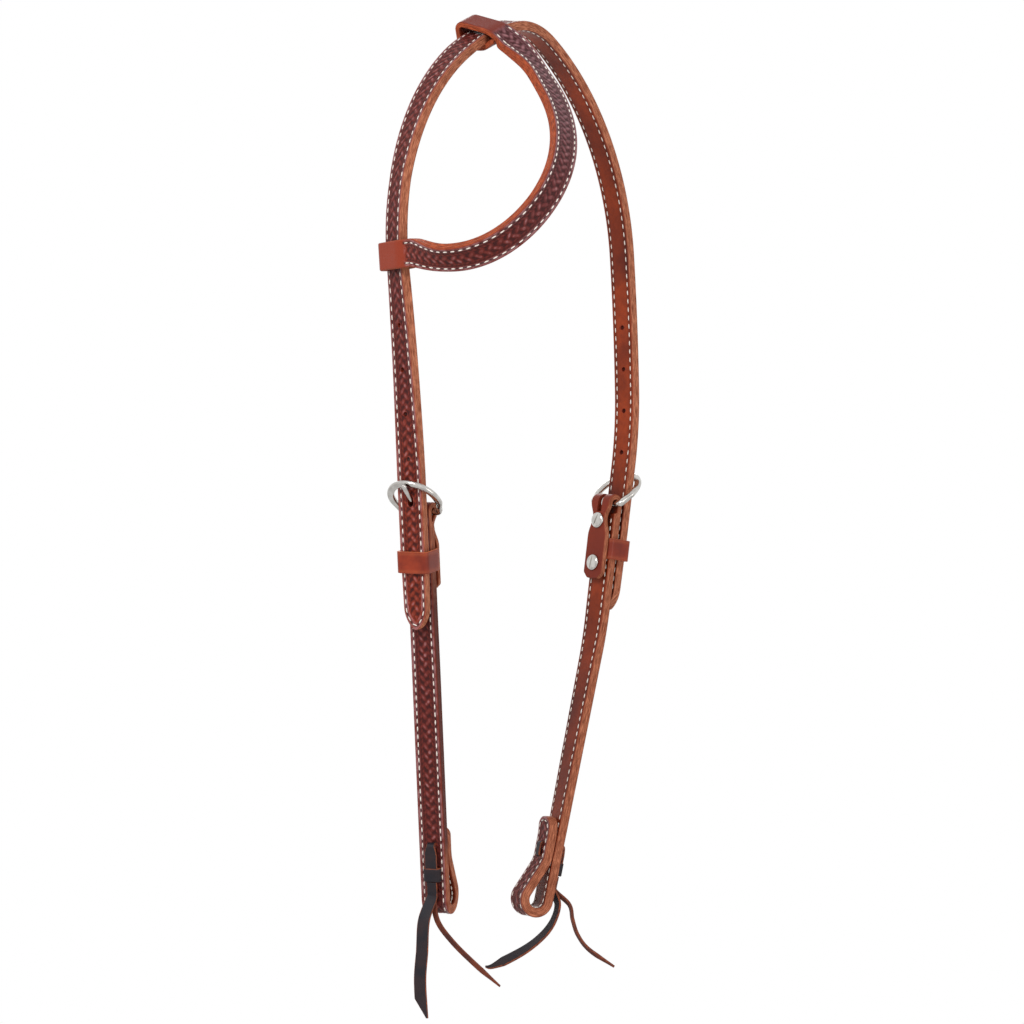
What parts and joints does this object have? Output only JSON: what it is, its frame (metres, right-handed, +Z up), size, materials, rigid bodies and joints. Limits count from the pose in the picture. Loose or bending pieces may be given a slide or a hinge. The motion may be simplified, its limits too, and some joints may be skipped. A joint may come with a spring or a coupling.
{
  "type": "western headstall",
  "caption": "Sliding one-ear bridle headstall of doubled, tooled and stitched leather, with buckled cheeks, bit loops and lace ties.",
  "frame": {"origin": "underside of the crown strap at its highest point, where it hangs on a peg or lies behind the ears", "axes": "+Z up, -Y to the front of the horse's head, +X to the off side (the horse's right), -X to the near side"},
  "size_m": [0.2465, 0.1498, 0.5863],
  "materials": {
    "tooled_leather": "semi-gloss, braid tooled",
    "lining_leather": "satin russet",
    "smooth_leather": "semi-gloss",
    "lace_leather": "matt, soft",
    "bright_nickel": "polished"
  },
  "bodies": {
    "headstall": {"crown_outer": "tooled_leather", "crown_lining": "lining_leather", "near_cheek_outer": "tooled_leather", "near_cheek_lining": "lining_leather", "near_upper_screw": "bright_nickel", "near_upper_post": "bright_nickel", "near_lower_screw": "bright_nickel", "near_lower_post": "bright_nickel", "near_tie": "lace_leather", "near_tie_blade": "lace_leather", "near_tie_tail": "lace_leather", "off_cheek_outer": "tooled_leather", "off_cheek_lining": "lining_leather", "off_upper_screw": "bright_nickel", "off_upper_post": "bright_nickel", "off_lower_screw": "bright_nickel", "off_lower_post": "bright_nickel", "off_tie": "lace_leather", "off_tie_blade": "lace_leather", "off_tie_tail": "lace_leather"},
    "ear": {"ear_outer": "tooled_leather", "ear_lining": "lining_leather"},
    "near_keeper_body": {"near_keeper": "smooth_leather"},
    "near_buckle": {"near_buckle_frame": "bright_nickel"},
    "near_tongue": {"near_buckle_tongue": "bright_nickel"},
    "off_keeper_body": {"off_keeper": "smooth_leather"},
    "off_buckle": {"off_buckle_frame": "bright_nickel"},
    "off_tongue": {"off_buckle_tongue": "bright_nickel"}
  },
  "joints": [
    {"name": "ear_slide", "type": "hinge", "parent": "headstall", "child": "ear", "pos_m": [0.017, -0.00712, -0.13432], "axis": [0, 0.9987, -0.0506], "range_deg": [-3, 6]},
    {"name": "near_frame_hinge", "type": "hinge", "parent": "headstall", "child": "near_buckle", "pos_m": [-0.10057, -0.00782, -0.28474], "axis": [0.188, -0.9816, -0.0333], "range_deg": [0, 4]},
    {"name": "near_tongue_hinge", "type": "hinge", "parent": "near_buckle", "child": "near_tongue", "pos_m": [-0.10057, -0.00782, -0.28474], "axis": [0.188, -0.9816, -0.0333], "range_deg": [0, 4]},
    {"name": "near_keeper_slide", "type": "slide", "parent": "headstall", "child": "near_keeper_body", "axis": [-0.1469, -0.0616, 0.9872], "range_m": [0, 0.006]},
    {"name": "off_frame_hinge", "type": "hinge", "parent": "headstall", "child": "off_buckle", "pos_m": [0.07931, -0.00757, -0.27972], "axis": [0.1846, 0.982, 0.0404], "range_deg": [0, 4]},
    {"name": "off_tongue_hinge", "type": "hinge", "parent": "off_buckle", "child": "off_tongue", "pos_m": [0.07931, -0.00757, -0.27972], "axis": [0.1846, 0.982, 0.0404], "range_deg": [0, 4]},
    {"name": "off_keeper_slide", "type": "slide", "parent": "headstall", "child": "off_keeper_body", "axis": [0.1091, -0.0614, 0.9921], "range_m": [0, 0.006]}
  ]
}
